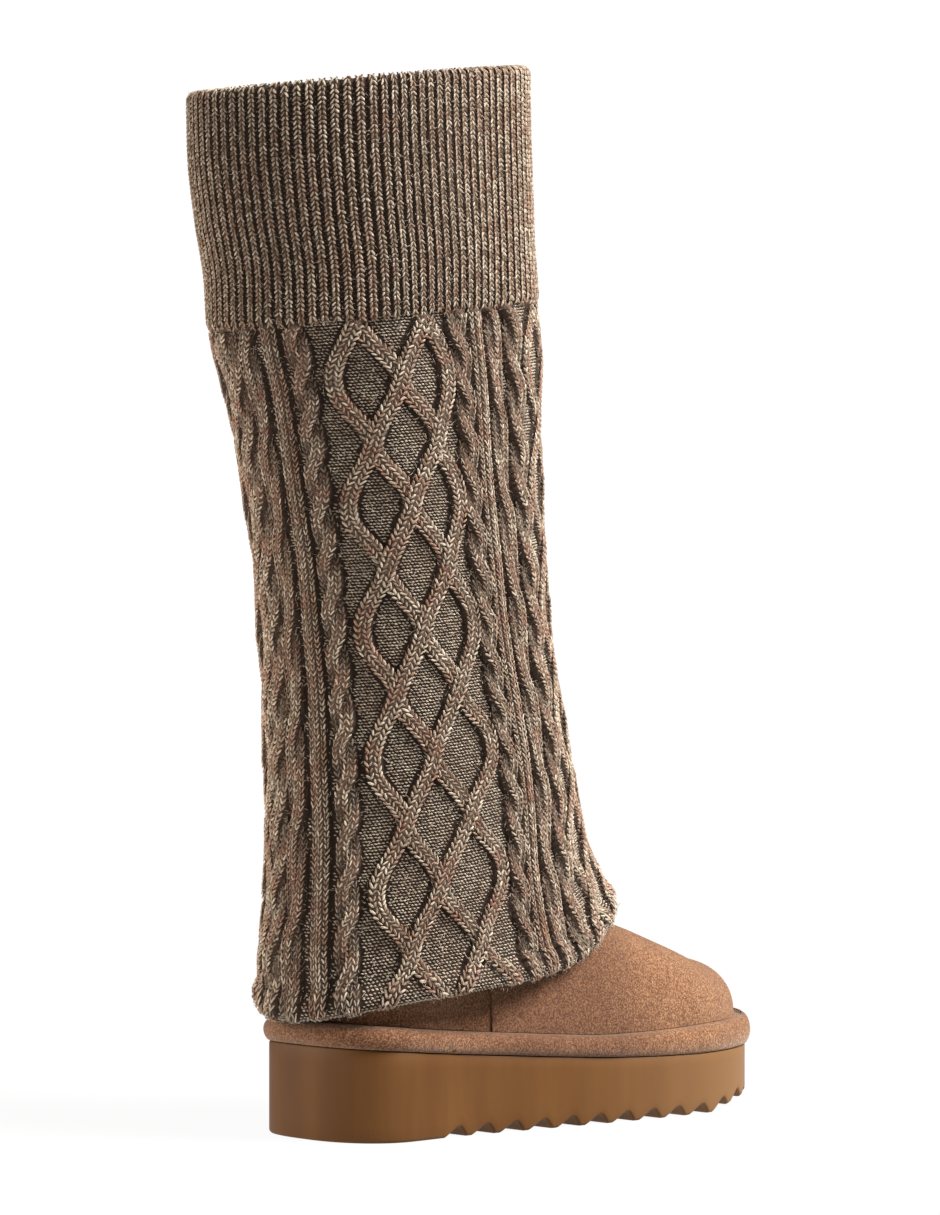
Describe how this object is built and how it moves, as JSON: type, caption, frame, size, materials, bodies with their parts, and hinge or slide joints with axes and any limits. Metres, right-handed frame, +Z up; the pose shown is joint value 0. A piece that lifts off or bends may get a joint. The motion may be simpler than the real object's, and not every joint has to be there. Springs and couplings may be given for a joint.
{
  "type": "knee boot",
  "caption": "Knee-high flatform boot: suede foot on a thick lugged sole, with a slouchy cable-knit shaft and ribbed cuff.",
  "frame": {"origin": "on the floor, under the middle of the heel pad", "axes": "+Y to the toe, +X to the outer side of the right foot, +Z up"},
  "size_m": [0.132, 0.326, 0.4868],
  "materials": {
    "sole_foam": "moulded, satin",
    "suede": "brushed nap",
    "lining": "short fleece",
    "knit_yarn": "heather wool yarn, cable knit"
  },
  "bodies": {
    "root": {"outsole": "sole_foam", "midsole": "suede", "insole": "lining", "upper": "suede", "knit_shaft": "knit_yarn"}
  },
  "joints": []
}
